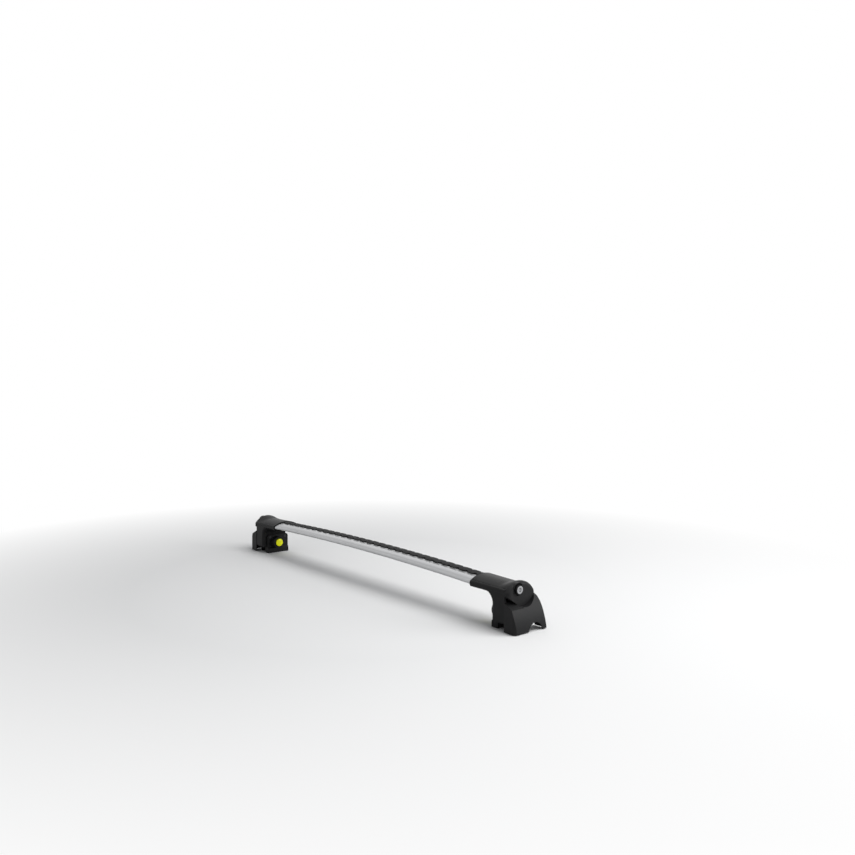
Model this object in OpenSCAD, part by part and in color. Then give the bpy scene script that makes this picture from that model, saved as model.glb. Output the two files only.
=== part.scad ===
// Roof rack crossbar: an arched aero bar with a foot at each end that clamps onto a flush side rail.
// X runs along the bar, Y points to the front of the vehicle and Z is up.
// The origin is the middle of the whole rack, on the plane that the claws stand on.
// The sub-parts are drawn with the middle of the bar's section at Y = 0 and then moved into that frame.
// Those of a foot are drawn at the right-hand end (positive X) and mirrored for the left one.

/* [Bar] */
// Length of the extrusion, measured along X
bar_length = 1148; // [980:4:1340]
// Radius of the upward bow of the bar
arch_radius = 12200; // [11000:100:14000]
// Height of the underside of the bar above the standing plane where it enters the sleeves
lip_z = 88; // [87.5:0.1:88.5]
// Thickness of the section at its crest
bar_thickness = 20; // [19.5:0.25:20.5]
// Distance from the middle of the section to the centre of its tail round
tail_y = 35.5; // [34:0.5:37]
// Radius of the tail round
tail_radius = 4.5; // [4:0.25:5]
// Distance from the middle of the section to the centre of its nose round
nose_y = 34; // [33:0.5:35]
// Radius of the nose round
nose_radius = 6; // [5.5:0.25:6.5]
// Radius of the nearly flat underside of the section
underside_radius = 400; // [350:50:600]
// Wall thickness of the extrusion
bar_wall = 2.2; // [2:0.1:2.5]

/* [Slot and strip] */
// Width of the mouth of the T-slot
slot_mouth = 11; // [10:0.5:12]
// Width of the T-slot behind its lips
slot_width = 20; // [18:0.5:21]
// Height of the T-slot behind its lips
slot_height = 5.4; // [5:0.2:5.6]
// Thickness of the lips of the T-slot
slot_lip = 2.8; // [2.5:0.1:3]
// Width of the rubber strip
strip_width = 37; // [35:0.5:40]
// Height of the strip above the crest of the bar
strip_rise = 1.5; // [1:0.1:2]
// Depth that the strip is let into the bar at the crest
strip_sink = 1.5; // [1.2:0.1:1.8]
// Distance between the end of the strip and the lip of the sleeve
strip_gap = 1; // [0.5:0.5:20]
// Distance between the scallops of the strip's edges
scallop_pitch = 32; // [28:1:36]
// Radius of the round that cuts a scallop
scallop_radius = 8; // [6:0.5:9]
// Depth of a scallop
scallop_depth = 3.6; // [2:0.1:4]

/* [Foot] */
// Length of the sleeve around the bar
sleeve_length = 116; // [111:0.5:117]
// Distance that the foot housing reaches past the end of the extrusion
foot_reach = 3; // [2.5:0.5:6]
// Wall of the sleeve around the bar
sleeve_wall = 1.4; // [1.2:0.1:1.6]
// Rear face of the leg
leg_rear_y = -41; // [-41.5:0.5:-40.5]
// Front face of the leg
leg_front_y = 46; // [44:0.5:48]
// Depth of the leg between its inner and its outer face
leg_depth = 43; // [42:0.5:45]
// Radius of the hollow curve between the sleeve and the leg
neck_radius = 25; // [22:1:26]
// Underside of the sleeve, which the hollow curve starts from
keel_z = 84; // [83.5:0.25:84.5]
// Radius of the inner corners of the leg
leg_corner = 9; // [6:0.5:10]
// Underside of the leg, where the saddle pad sits
saddle_z = 23; // [22:0.5:24]
// Thickness of the saddle pad
saddle_pad_thickness = 5; // [4:0.5:6]
// Distance that the land of the saddle pad stands proud to meet the rail
pad_land = 1.2; // [1:0.1:1.5]
// Wall of the moulded leg
leg_wall = 6; // [5:0.5:7]

/* [Clamp] */
// Height of the clamp bolt above the standing plane
bolt_z = 35; // [34:0.5:36]
// Distance of the clamp bolt in front of the middle of the bar
clamp_y = 4; // [2:0.5:5]
// Nominal radius of the clamp bolt
bolt_radius = 4; // [4:0.5:4.5]
// Turning clearance of the bolt in the nut, on the radius
thread_clearance = 0.05; // [0.02:0.01:0.1]
// Clearance of the bolt in its plain bores, on the radius
bore_clearance = 0.4; // [0.35:0.05:0.6]
// Thickness of the inner claw's plate
claw_plate = 7; // [6:0.5:8]
// Height of the top of the inner claw
inner_claw_top = 59; // [55:1:59]
// Rear edge of the inner claw
inner_claw_rear = -28; // [-29:0.5:-26]
// Front edge of the inner claw
inner_claw_front = 47; // [45:0.5:48]
// Radius of the boss of the inner claw
claw_boss_radius = 18.5; // [17:0.5:19]
// Distance that the boss stands out of the claw's plate
claw_boss_length = 18.5; // [16:0.5:20]
// Distance from the inner face of the leg to the rail gap
rail_inset = 12; // [11:0.5:13]
// Width of the rail gap between the claw pads
rail_gap = 28; // [26:0.5:28.5]
// Thickness of the rubber on the claws
claw_pad_thickness = 2; // [1.5:0.25:2.5]
// Thickness of the outer claw's plate
outer_claw_plate = 6; // [5:0.5:6.5]
// Height of the top of the outer claw
outer_claw_top = 52; // [48:1:53]
// Half width of the outer claw
outer_claw_half = 24; // [20:1:26]

/* [Lock] */
// Height of the lock above the standing plane
lock_z = 98; // [97:0.5:99]
// Distance of the lock behind the middle of the bar
lock_back = 9.5; // [9:0.5:11]
// Radius of the lock face
lock_radius = 9; // [8.5:0.25:9.5]
// Running clearance of the lock barrel, on the radius
lock_clearance = 0.08; // [0.05:0.01:0.1]
// Wall of the lock sleeve
lock_sleeve_wall = 2.4; // [2:0.1:3]
// Radius of the round recess in the end cap
recess_radius = 14.5; // [14:0.25:15]
// Reach of the lock cam from the middle of the lock
cam_reach = 24; // [23:0.5:24.5]

/* [Covers] */
// Depth of the end cap over the face of the housing
cap_depth = 13; // [12:0.5:14]
// Wall of the covers
cover_wall = 3; // [2.5:0.25:3]
// Depth of the lower cover over the face of the housing at its outermost point
cover_depth = 36; // [35:0.5:38]
// Radius of the bulged face of the lower cover
cover_bulge = 150; // [140:5:170]
// Height of the bottom edge of the lower cover
cover_bottom_z = 2; // [1:0.5:3]
// Radius of the finger notch in the bottom edge
notch_radius = 23; // [20:1:25]

/* [Hidden] */

$fn = 64;
// Facets of the long, nearly flat arcs of the section
wide_fn = 480;
// Facets of a full turn at the radius of the bow
arch_fn = 1800;
// Overlap that makes a cut pass its face
over = 1;
// Reach of a block that has to pass everything in its way
far = 120;
// Gap between fixed pieces that are let into each other
fit = 0.2;
// Gap between the housing and the covers
cover_gap = 0.4;
// Gap between the strip and its seat
strip_play = 0.05;

bar_end_x = bar_length / 2;
foot_face_x = bar_end_x + foot_reach;
lip_x = foot_face_x - sleeve_length;
leg_inner_x = foot_face_x - leg_depth;
claw_plate_x = leg_inner_x - claw_plate;
claw_boss_x = claw_plate_x - claw_boss_length;
rail_inner_x = leg_inner_x + rail_inset;
cap_face_x = foot_face_x + cap_depth;
cover_out_x = foot_face_x + cover_depth;
strip_end_x = lip_x - strip_gap;
bar_centre_z = lip_z + bow_drop(lip_x);
tail_centre_z = underside_radius - sqrt(pow(underside_radius - tail_radius, 2) - pow(tail_y, 2));
nose_centre_z = underside_radius - sqrt(pow(underside_radius - nose_radius, 2) - pow(nose_y, 2));
tail_drop = bar_thickness - tail_centre_z;
nose_drop = bar_thickness - nose_centre_z;
rear_top_radius = (pow(tail_drop, 2) + pow(tail_y, 2) - pow(tail_radius, 2))
    / (2 * (tail_drop - tail_radius));
front_top_radius = (pow(nose_drop, 2) + pow(nose_y, 2) - pow(nose_radius, 2))
    / (2 * (nose_drop - nose_radius));
strip_seat = bar_thickness - strip_sink;
slot_top = strip_seat - slot_lip;
slot_floor = slot_top - slot_height;
duct_top = slot_floor - bar_wall;
web_out = slot_width / 2 + bar_wall;
anchor_x = [bar_end_x - 29, bar_end_x - 9];
anchor_top_z = bar_centre_z - bow_drop(anchor_x[1]) + (bar_wall + duct_top) / 2;

pad_bottom_z = saddle_z - saddle_pad_thickness;
rail_outer_x = rail_inner_x + rail_gap;
pad_mid_y = (leg_rear_y + leg_front_y) / 2;
pad_slot = 3;
pad_slot_pitch = 12;
jaw_top_z = pad_bottom_z + pad_land - 0.3;
claw_play = 0.4;
outer_claw_x = foot_face_x + claw_play;
washer_thickness = 1.6;
washer_x = outer_claw_x + outer_claw_plate;
head_x = washer_x + washer_thickness;
head_length = 8;
head_radius = 6.5;
nut_flats = 13;
nut_thickness = 6.5;
nut_x = claw_boss_x + 2.5;
yellow_radius = 12;
screw_radius = 2.5;
screw_head_radius = 4.25;
screw_head = 3;
chamber_top = keel_z - 4;
chamber_bottom = 58;
sleeve_y = [-tail_y - tail_radius - sleeve_wall, nose_y + nose_radius + sleeve_wall];
sleeve_corner = 8;
peg_radius = 3;
peg_z = 46;
claw_screw_y = [inner_claw_rear + 10, inner_claw_front - 10];
peg_y = [leg_rear_y + 6.5, leg_front_y - 6.5];

lock_y = -lock_back;
recess_depth = 5;
lock_face_x = cap_face_x + 6;
cap_floor = 2.5;
cam_out_x = cap_face_x - recess_depth - cap_floor - 1;
cam_thickness = 2.5;
cam_width = 9;
catch_lip_x = cam_out_x + 0.5;
catch_y = [lock_y + 11, lock_y + 18];
catch_top = lock_z - cam_reach + 5;
catch_bottom = lock_z - cam_reach - 3;
catch_screw_z = catch_bottom + 2.5;
catch_head_radius = 2.5;

cap_inner_x = foot_face_x + cover_gap;
cap_rear_y = -42;
cap_edge = 9;
cap_collar = 1.5;
cap_top_round = [1, 63, 52.3];
cap_low_round = [5, 97, 39.5];
cap_diagonal = [[cap_rear_y, 84], [-7, 59.4]];
cover_front = [[-60, -20], [63, -20], [62, 4], [58, 28], [55.5, 49], [53, 65], [49, 76], [43, 83], [-60, 83]];
cover_rear_y = cap_rear_y;
rack_front_y = 62.1;
cover_edge = 9;
cover_top_z = 89;
notch_y = 26;
notch_z = -2;
cover_shelf_x = cap_face_x - 2;
ledge_z = 69;
ledge_run = 0.5;
ledge_end_y = -4;
tab_angles = [-85, -36];
tab_radius = 5;
tab_thickness = 3;
tab_at = [for (a = tab_angles) [cap_low_round[0], cap_low_round[1]]
    + (cap_low_round[2] - 8) * [cos(a), sin(a)]];

// Fall of the bowed bar below mid span at a place of X
function bow_drop(x) = arch_radius - sqrt(pow(arch_radius, 2) - pow(x, 2));

// Moves what is drawn about the bar's section into the frame of the whole rack
module on_right() translate([0, -(cap_rear_y + rack_front_y) / 2, 0]) children();
module on_left() mirror([1, 0, 0]) on_right() children();

// Draws a section given in Y and Z as a prism along X between two places
module along_x(from, to)
    translate([from, 0, 0]) rotate([90, 0, 90]) linear_extrude(to - from) children();

// Draws an outline given in X and Z as a prism along Y between two places
module along_y(from, to)
    translate([0, to, 0]) rotate([90, 0, 0]) linear_extrude(to - from) children();

// Draws a section given in Y and Z along the bow of the bar between two places of X
module along_bow(from, to) {
    start = asin(from / arch_radius);
    end = asin(to / arch_radius);
    translate([0, 0, bar_centre_z - arch_radius])
        rotate([0, end - 90, 0])
            rotate([90, 0, 0])
                rotate_extrude(angle = end - start, $fn = arch_fn)
                    translate([arch_radius, 0]) rotate(-90) children();
}

module rod(x, y, z, r, length) translate([x, y, z]) rotate([0, 90, 0]) cylinder(r = r, h = length);

module hex_rod(x, y, z, flats, length)
    translate([x, y, z]) rotate([0, 90, 0]) cylinder(r = flats / 2 / cos(30), h = length, $fn = 6);

module rounded(x0, y0, x1, y1, r) {
    translate([x0 + r, y0]) square([x1 - x0 - 2 * r, y1 - y0]);
    translate([x0, y0 + r]) square([x1 - x0, y1 - y0 - 2 * r]);
    for (x = [x0 + r, x1 - r], y = [y0 + r, y1 - r]) translate([x, y]) circle(r);
}

// Outline of the aero section, grown by a given amount
module bar_outline(grow) {
    intersection() {
        translate([0, underside_radius]) circle(underside_radius + grow, $fn = wide_fn);
        union() {
            intersection() {
                translate([0, bar_thickness - rear_top_radius]) circle(rear_top_radius + grow, $fn = wide_fn);
                translate([-tail_y, -far]) square([tail_y, 2 * far]);
            }
            intersection() {
                translate([0, bar_thickness - front_top_radius]) circle(front_top_radius + grow, $fn = wide_fn);
                translate([-0.01, -far]) square([nose_y + 0.01, 2 * far]);
            }
        }
    }
    translate([-tail_y, tail_centre_z]) circle(tail_radius + grow);
    translate([nose_y, nose_centre_z]) circle(nose_radius + grow);
}

// Band of the section under the strip, between a depth and a height over its outline
module strip_band(half, sink, rise) difference() {
    intersection() {
        bar_outline(rise);
        translate([-half, bar_thickness / 2]) square([2 * half, far]);
    }
    bar_outline(-sink);
}

module bar_section() {
    difference() {
        bar_outline(0);
        strip_band(strip_width / 2 + fit, strip_sink + strip_play, bar_thickness / 4);
        translate([-slot_mouth / 2, slot_floor + 1]) square([slot_mouth, far]);
        translate([-slot_width / 2, slot_floor]) square([slot_width, slot_height]);
        translate([-slot_width / 2, bar_wall]) square([slot_width, duct_top - bar_wall]);
        intersection() {
            bar_outline(-bar_wall);
            union() {
                translate([-far, -far]) square([far - web_out, 2 * far]);
                translate([web_out, -far]) square([far, 2 * far]);
            }
        }
    }
}

module bar_extrusion() color("#b9bcc0") difference() {
    along_bow(-bar_end_x, bar_end_x) bar_section();
    for (side = [-1, 1], x = anchor_x) translate([side * x, 0, chamber_top])
        cylinder(r = screw_radius + 0.3, h = anchor_top_z - chamber_top);
}

// Rubber strip: pressed into the T-slot by its stem, with scalloped edges
module top_strip() color("#2a2b2d") difference() {
    along_bow(-strip_end_x, strip_end_x) {
        strip_band(strip_width / 2, strip_sink, strip_rise);
        translate([-slot_mouth / 2 + fit, slot_top - 1]) square([slot_mouth - 2 * fit, slot_lip + 1.5]);
        translate([-slot_mouth / 2 - 1.5, slot_top - 2]) square([slot_mouth + 3, 1.8]);
    }
    reach = floor((strip_end_x - scallop_radius) / scallop_pitch);
    for (i = [-reach:reach], side = [-1, 1])
        translate([i * scallop_pitch, side * (strip_width / 2 + scallop_radius - scallop_depth), lip_z])
            cylinder(r = scallop_radius, h = far);
}

// Moulded plug that closes the end of the extrusion
module end_plug() color("#1c1d1f") union() {
    along_bow(bar_end_x + 0.1, foot_face_x - 1.2) bar_outline(-0.2);
    along_bow(bar_end_x - 12, bar_end_x + 0.5) {
        intersection() {
            bar_outline(-bar_wall - fit);
            translate([-far, -far]) square([far - web_out - fit, 2 * far]);
        }
        intersection() {
            bar_outline(-bar_wall - fit);
            translate([web_out + fit, -far]) square([far, 2 * far]);
        }
    }
}

// Section of the neck and leg: distance from the inner surface, and Y
module leg_section(depth) {
    intersection() {
        rounded(0, leg_rear_y, depth + leg_corner, leg_front_y, leg_corner);
        translate([0, -far]) square([depth, 2 * far]);
    }
}

// Section of the sleeve: the outline of the bar with a wall, made deeper down to the keel
module sleeve_section() {
    translate([0, lip_z]) bar_outline(sleeve_wall);
    polygon([[sleeve_y[0], keel_z + sleeve_corner], [sleeve_y[1], keel_z + sleeve_corner],
        [sleeve_y[1], lip_z + nose_centre_z], [sleeve_y[0], lip_z + tail_centre_z]]);
    translate([sleeve_y[0] + sleeve_corner, keel_z])
        square([sleeve_y[1] - sleeve_y[0] - 2 * sleeve_corner, sleeve_corner]);
    for (y = [sleeve_y[0] + sleeve_corner, sleeve_y[1] - sleeve_corner])
        translate([y, keel_z + sleeve_corner]) circle(sleeve_corner);
}

module foot_housing() color("#1f2022") difference() {
    union() {
        // level sleeve
        along_x(lip_x, foot_face_x) sleeve_section();
        // neck: the section of the leg turned through a quarter
        intersection() {
            translate([leg_inner_x - neck_radius, 0, keel_z - neck_radius]) rotate([90, 0, 0])
                rotate_extrude(angle = 90, $fn = 96)
                    translate([neck_radius, 0]) mirror([0, 1]) leg_section(neck_radius + leg_depth + 2 * over);
            translate([lip_x, -far, saddle_z]) cube([sleeve_length, 2 * far, keel_z + 5 - saddle_z]);
        }
        // leg
        translate([leg_inner_x, 0, saddle_z])
            linear_extrude(keel_z - neck_radius - saddle_z) leg_section(leg_depth);
    }
    // seat of the bar
    along_bow(lip_x - 5, foot_face_x + 5) bar_outline(fit);
    // upper chamber, for the screws that hold the bar
    translate([leg_inner_x + leg_wall, leg_rear_y + 12, chamber_bottom])
        cube([leg_depth, leg_front_y - leg_rear_y - 24, chamber_top - chamber_bottom]);
    // lower pockets on both sides of the clamp bolt
    for (y = [[leg_rear_y + 12, clamp_y - 9], [clamp_y + 9, leg_front_y - 12]])
        translate([leg_inner_x + leg_wall, y[0], saddle_z + 5])
            cube([leg_depth, y[1] - y[0], chamber_bottom - saddle_z - 9]);
    rod(leg_inner_x - over, clamp_y, bolt_z, bolt_radius + bore_clearance, leg_depth + 2 * over);
    for (y = peg_y) rod(foot_face_x - 10, y, peg_z, peg_radius + fit, 20);
    for (x = anchor_x) translate([x, 0, chamber_top - over]) cylinder(r = screw_radius + 0.3, h = 20);
    for (y = claw_screw_y) rod(leg_inner_x - over, y, inner_claw_top - 8, screw_radius - 0.4, over + 5.5);
    for (y = catch_y) rod(foot_face_x - 6, y, catch_screw_z, 1.6, 10);
}

module anchor_block() color("#8d9094") difference() {
    along_bow(anchor_x[0] - 8, anchor_x[1] + 8)
        translate([-slot_width / 2 + fit, bar_wall + 0.05]) square([slot_width - 2 * fit, duct_top - bar_wall - 0.3]);
    for (x = anchor_x) translate([x, 0, chamber_top]) cylinder(r = screw_radius, h = far);
}

module anchor_screws() color("#6f7276")
    for (x = anchor_x) translate([x, 0, chamber_top]) difference() {
        union() {
            translate([0, 0, -screw_head - 1]) cylinder(r = screw_head_radius, h = screw_head + 1);
            cylinder(r = screw_radius - 0.02, h = anchor_top_z - 1 - chamber_top);
        }
        translate([0, 0, -screw_head - 2]) cylinder(r = 2.3, h = 3.5, $fn = 6);
    }

module saddle_pad() color("#161718") difference() {
    union() {
        translate([0, 0, pad_bottom_z + pad_land]) linear_extrude(saddle_pad_thickness - pad_land)
            rounded(leg_inner_x + 1, leg_rear_y + 2, foot_face_x - 1, leg_front_y - 2, 7);
        // land on the rail
        translate([0, 0, pad_bottom_z]) linear_extrude(saddle_pad_thickness / 2)
            rounded(rail_inner_x + 1, leg_rear_y + 4, rail_outer_x - 1, leg_front_y - 4, 4);
    }
    // slots across the land
    for (i = [-2.5:2.5])
        translate([rail_inner_x + 5, pad_mid_y + i * pad_slot_pitch - pad_slot / 2, pad_bottom_z - over])
            cube([rail_gap - 10, pad_slot, over + pad_land - 0.2]);
}

module inner_claw() color("#232427") difference() {
    union() {
        // plate against the inner face of the leg
        along_x(claw_plate_x, leg_inner_x)
            rounded(inner_claw_rear, 0, inner_claw_front, inner_claw_top, 8);
        rod(claw_boss_x, clamp_y, bolt_z, claw_boss_radius, leg_inner_x - claw_boss_x);
        // jaw under the saddle
        along_y(inner_claw_rear, inner_claw_front)
            polygon([[claw_plate_x - 4, 0], [rail_inner_x - claw_pad_thickness, 0],
                [rail_inner_x - claw_pad_thickness, jaw_top_z], [claw_plate_x, jaw_top_z],
                [claw_plate_x - 4, jaw_top_z - 4]]);
    }
    rod(claw_boss_x - over, clamp_y, bolt_z, bolt_radius + bore_clearance, far);
    hex_rod(claw_boss_x - over, clamp_y, bolt_z, nut_flats + fit, nut_x + nut_thickness - claw_boss_x + over);
    for (y = claw_screw_y) {
        rod(claw_plate_x - over, y, inner_claw_top - 8, screw_radius + 0.2, far);
        rod(claw_plate_x - over, y, inner_claw_top - 8, screw_head_radius + 0.2, over + 2.5);
    }
}

module inner_claw_pad() color("#161718")
    along_x(rail_inner_x - claw_pad_thickness, rail_inner_x)
        rounded(inner_claw_rear + 3, 1.5, inner_claw_front - 3, pad_bottom_z - 2, 3);

module inner_claw_screws() color("#6f7276")
    for (y = claw_screw_y) difference() {
        union() {
            rod(claw_plate_x + 0.1, y, inner_claw_top - 8, screw_head_radius, 2.4);
            rod(claw_plate_x + 1, y, inner_claw_top - 8, screw_radius - 0.5, 11);
        }
        hex_rod(claw_plate_x - 1, y, inner_claw_top - 8, 3, 2.5);
    }

module clamp_nut() color("#a9abae") difference() {
    hex_rod(nut_x, clamp_y, bolt_z, nut_flats, nut_thickness);
    rod(nut_x - over, clamp_y, bolt_z, bolt_radius + thread_clearance, nut_thickness + 2 * over);
}

// Bright cap that closes the nut pocket
module bolt_cap() color("#e3e51a") union() {
    rod(claw_boss_x - 3.5, clamp_y, bolt_z, yellow_radius, 3.5);
    hex_rod(claw_boss_x - 1, clamp_y, bolt_z, nut_flats - 0.2, 1 + nut_x - claw_boss_x - 1.2);
}

module outer_claw() color("#2b2c2f") difference() {
    union() {
        along_x(outer_claw_x, washer_x)
            rounded(clamp_y - outer_claw_half, 0, clamp_y + outer_claw_half, outer_claw_top, 6);
        along_x(rail_outer_x + claw_pad_thickness, outer_claw_x + 1)
            translate([clamp_y - outer_claw_half, 0]) square([2 * outer_claw_half, jaw_top_z - 0.6]);
    }
    rod(outer_claw_x - over, clamp_y, bolt_z, bolt_radius + bore_clearance, far);
}

module outer_claw_pad() color("#161718")
    along_x(rail_outer_x, rail_outer_x + claw_pad_thickness)
        rounded(clamp_y - outer_claw_half + 2, 1.5, clamp_y + outer_claw_half - 2, pad_bottom_z - 2, 3);

module clamp_washer() color("#a9abae") difference() {
    rod(washer_x, clamp_y, bolt_z, 8.5, washer_thickness);
    rod(washer_x - over, clamp_y, bolt_z, bolt_radius + bore_clearance, washer_thickness + 2 * over);
}

module clamp_bolt() color("#9b9da0") difference() {
    union() {
        rod(head_x + 0.1, clamp_y, bolt_z, head_radius, head_length);
        rod(nut_x + 0.2, clamp_y, bolt_z, bolt_radius, head_x - nut_x);
    }
    hex_rod(head_x + 3.5, clamp_y, bolt_z, 6, 10);
}

module lock_catch() color("#8d9094") difference() {
    union() {
        translate([foot_face_x, lock_y - 6, catch_bottom]) cube([1.5, catch_y[1] - lock_y + 10, 5]);
        translate([foot_face_x, lock_y - 6, catch_bottom]) cube([catch_lip_x + 2 - foot_face_x, 12, 2]);
        translate([catch_lip_x, lock_y - 6, catch_bottom]) cube([2, 12, catch_top - catch_bottom]);
    }
    for (y = catch_y) rod(foot_face_x - 1, y, catch_screw_z, 1.9, 4);
}

module catch_screws() color("#6f7276")
    for (y = catch_y) union() {
        rod(foot_face_x + 1.5, y, catch_screw_z, catch_head_radius, 1.6);
        rod(foot_face_x - 5, y, catch_screw_z, 1.5, 7);
    }

// Outline of the end cap in Y and Z, shrunk by a given amount
module cap_outline(inset) {
    slope = cap_diagonal[1] - cap_diagonal[0];
    normal = [-slope[1], slope[0]] / norm(slope);
    base = [for (p = cap_diagonal) p + normal * inset];
    along = slope / norm(slope);
    intersection() {
        translate([cap_top_round[0], cap_top_round[1]]) circle(cap_top_round[2] - inset, $fn = 128);
        translate([cap_rear_y + inset, 0]) square([far, 2 * far]);
        union() {
            translate([-far, 0]) square([far + cap_diagonal[1][0], 2 * far]);
            intersection() {
                translate([cap_low_round[0], cap_low_round[1]]) circle(cap_low_round[2] - inset, $fn = 128);
                translate([-far, 0]) square([2 * far, cap_low_round[1]]);
            }
            translate([-far, cap_low_round[1] - 0.1]) square([2 * far, far]);
        }
        polygon([base[0] - far * along, base[1] + far * along, base[1] + far * along + 2 * far * normal,
            base[0] - far * along + 2 * far * normal]);
    }
}

// Solid of the end cap, shrunk by a given amount; a shrunk one runs out through the back
module cap_body(inset) intersection() {
    back = cap_inner_x - (inset > 0 ? over : 0);
    along_x(back, cap_face_x) cap_outline(inset);
    linear_extrude(2 * far)
        rounded(back - far, cap_rear_y + inset, cap_face_x - inset, far, cap_edge - inset);
    // the dome, turned about the centre of the top round
    translate([0, cap_top_round[0], cap_top_round[1]]) rotate([0, 90, 0]) rotate_extrude($fn = 128)
        intersection() {
            rounded(-cap_top_round[2] - 0.5 + inset, back - far, cap_top_round[2] + 0.5 - inset,
                cap_face_x - inset, cap_edge - inset);
            translate([0, back - over]) square([far, far]);
        }
}

module end_cap() color("#242528") difference() {
    union() {
        cap_body(0);
        rod(cap_face_x - cap_edge, lock_y, lock_z, recess_radius + cap_collar, cap_edge + 1);
    }
    difference() {
        cap_body(cover_wall);
        rod(cap_face_x - recess_depth - cap_floor, lock_y, lock_z, recess_radius + cap_floor, far);
        for (p = tab_at) rod(cap_inner_x + tab_thickness + fit, p[0], p[1], 4, far);
    }
    rod(cap_face_x - recess_depth, lock_y, lock_z, recess_radius, far);
    rod(cap_inner_x, lock_y, lock_z, lock_radius + lock_sleeve_wall, far);
    along_x(cap_inner_x - over, cap_inner_x + tab_thickness + fit) tab_outline(fit);
    for (p = tab_at) rod(cap_inner_x, p[0], p[1], 1.5, 8);
}

// Outline of the two tabs of the lower cover that reach behind the end cap
module tab_outline(grow)
    for (a = tab_angles) translate([cap_low_round[0], cap_low_round[1]]) rotate(a)
        translate([cap_low_round[2] - 8, 0]) {
            circle(tab_radius + grow);
            translate([0, -tab_radius - grow]) square([10, 2 * (tab_radius + grow)]);
        }

// Solid of the lower cover, shrunk by a given amount; a shrunk one runs out through the back and the bottom
module cover_body(inset) {
    back = inset > 0 ? over : 0;
    difference() {
        intersection() {
            along_y(-far, far) union() {
                intersection() {
                    translate([cover_out_x - cover_bulge, cover_bottom_z]) circle(cover_bulge - inset, $fn = 720);
                    translate([cap_inner_x - back, cover_bottom_z - back]) square([far, cover_top_z - cover_bottom_z]);
                }
                translate([cap_inner_x - back, cover_bottom_z])
                    square([cover_shelf_x - cap_inner_x - inset + back, cover_top_z - inset - cover_bottom_z]);
            }
            along_x(cap_inner_x - 2 * over, cover_out_x + over) intersection() {
                translate([-inset, 0]) polygon(cover_front);
                translate([cover_rear_y + inset, -far]) square([far, 3 * far]);
            }
            translate([0, 0, -over]) linear_extrude(far)
                rounded(cap_inner_x - far, cover_rear_y + inset, cover_out_x - inset, far, cover_edge);
        }
        // the ledge behind the end cap, sloping down to the outside
        along_y(-far, ledge_end_y + inset)
            polygon([[cap_inner_x - far, ledge_z + far * ledge_run - inset * 1.2],
                [cap_inner_x + far, ledge_z - far * ledge_run - inset * 1.2],
                [cap_inner_x + far, ledge_z + 2 * far], [cap_inner_x - far, ledge_z + 2 * far]]);
        along_x(cap_inner_x - 2 * over, cover_out_x + over) cap_outline(-cover_gap - inset);
    }
}

module lower_cover() color("#26272a") difference() {
    union() {
        difference() {
            cover_body(0);
            cover_body(cover_wall);
        }
        along_x(cap_inner_x, cap_inner_x + tab_thickness) tab_outline(0);
        for (y = peg_y) intersection() {
            rod(foot_face_x - 9, y, peg_z, peg_radius, far);
            union() {
                cover_body(0);
                translate([foot_face_x - 20, -far, 0]) cube([21, 2 * far, far]);
            }
        }
    }
    rod(cover_out_x - 12, notch_y, notch_z, notch_radius, far);
    for (p = tab_at) {
        rod(cap_inner_x - over, p[0], p[1], 1.8, over + tab_thickness + 1);
        rod(cap_inner_x - over, p[0], p[1], 3.2, over + 1.8);
    }
}

module cover_screws() color("#6f7276")
    for (p = tab_at) union() {
        rod(cap_inner_x + 0.3, p[0], p[1], 3, 1.5);
        rod(cap_inner_x + 1, p[0], p[1], 1.5, 6.5);
    }

module lock_sleeve() color("#2f3033") difference() {
    rod(cam_out_x + 0.5, lock_y, lock_z, lock_radius + lock_sleeve_wall - 0.05, lock_face_x - 1 - cam_out_x);
    rod(cam_out_x, lock_y, lock_z, lock_radius - 1.5, far);
    rod(cam_out_x + 3, lock_y, lock_z, lock_radius + lock_clearance, far);
}

module lock_barrel() color("#c9cbce") difference() {
    union() {
        rod(cam_out_x + 3.3, lock_y, lock_z, lock_radius, lock_face_x - cam_out_x - 3.3);
        rod(cam_out_x, lock_y, lock_z, lock_radius - 1.5 - lock_clearance, 5);
    }
    translate([lock_face_x - 6, lock_y - 0.9, lock_z - 4]) cube([10, 1.8, 8]);
    rod(cam_out_x - over, lock_y, lock_z, 1.6, 8);
}

module lock_cam() color("#a9abae") difference() {
    along_x(cam_out_x - cam_thickness, cam_out_x) union() {
        translate([lock_y, lock_z]) circle(7);
        translate([lock_y, lock_z - cam_width / 2]) square([cam_reach - cam_width / 2, cam_width]);
        translate([lock_y + cam_reach - cam_width / 2, lock_z]) circle(cam_width / 2);
    }
    rod(cam_out_x - cam_thickness - over, lock_y, lock_z, 1.8, 10);
}

module cam_screw() color("#6f7276") union() {
    rod(cam_out_x - cam_thickness - 1.6, lock_y, lock_z, 3.4, 1.6);
    rod(cam_out_x - cam_thickness - 1, lock_y, lock_z, 1.5, 8);
}

on_right() bar_extrusion();
on_right() top_strip();

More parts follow.
